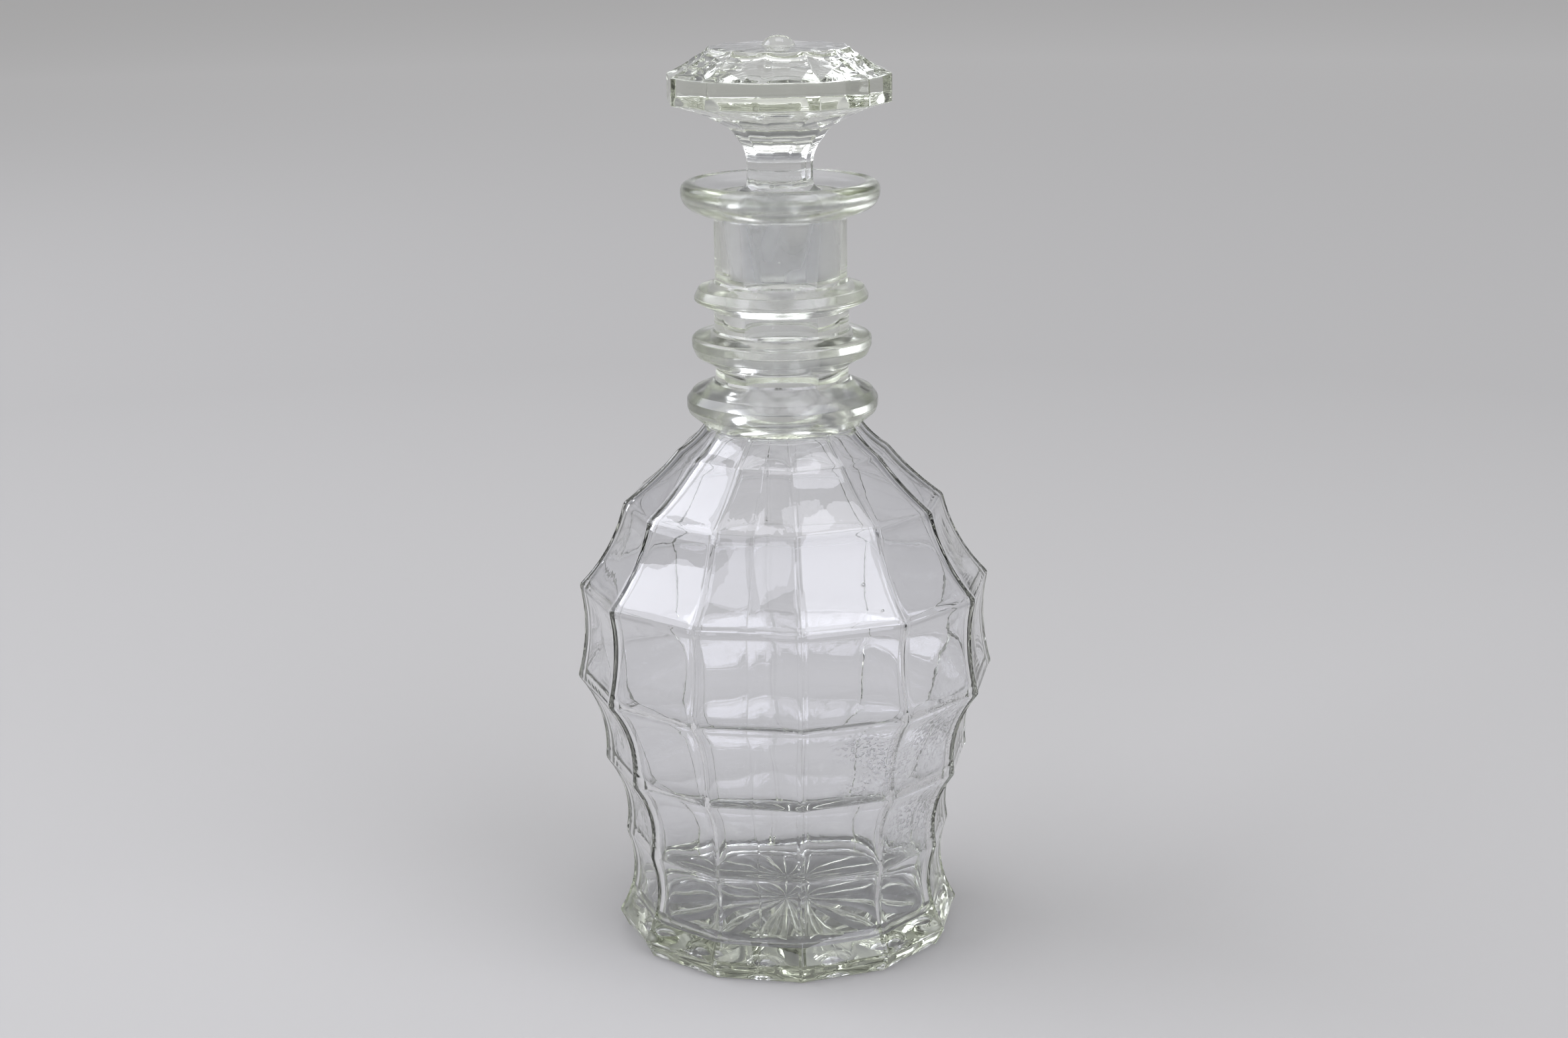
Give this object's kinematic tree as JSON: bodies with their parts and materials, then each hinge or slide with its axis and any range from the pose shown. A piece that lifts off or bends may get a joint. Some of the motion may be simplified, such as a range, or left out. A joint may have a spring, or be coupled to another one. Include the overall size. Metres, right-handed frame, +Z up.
{
  "type": "port decanter",
  "caption": "Tall moulded clear glass decanter with rows of hollow panels, a thick starred base, rings round the neck, an everted lip and a lift-out mushroom stopper.",
  "frame": {"origin": "on the surface that the decanter stands on, under the middle of the foot", "axes": "+Z up along the axis of the neck, from the foot to the stopper; -Y points at an upright ridge between two panels, and the flat lands between the rays of the star under the base lie along X and Y"},
  "size_m": [0.1272, 0.1272, 0.275],
  "materials": {
    "clear_glass": "fire-polished clear glass with a faint green tint, ground inside the mouth",
    "stopper_glass": "fire-polished clear glass with a faint green tint, ground round the peg"
  },
  "bodies": {
    "bottle": {"bottle": "clear_glass"},
    "stopper": {"stopper": "stopper_glass"}
  },
  "joints": [
    {"name": "stopper_lift", "type": "slide", "parent": "bottle", "child": "stopper", "axis": [0, 0, 1], "range_m": [0, 0.06]}
  ]
}
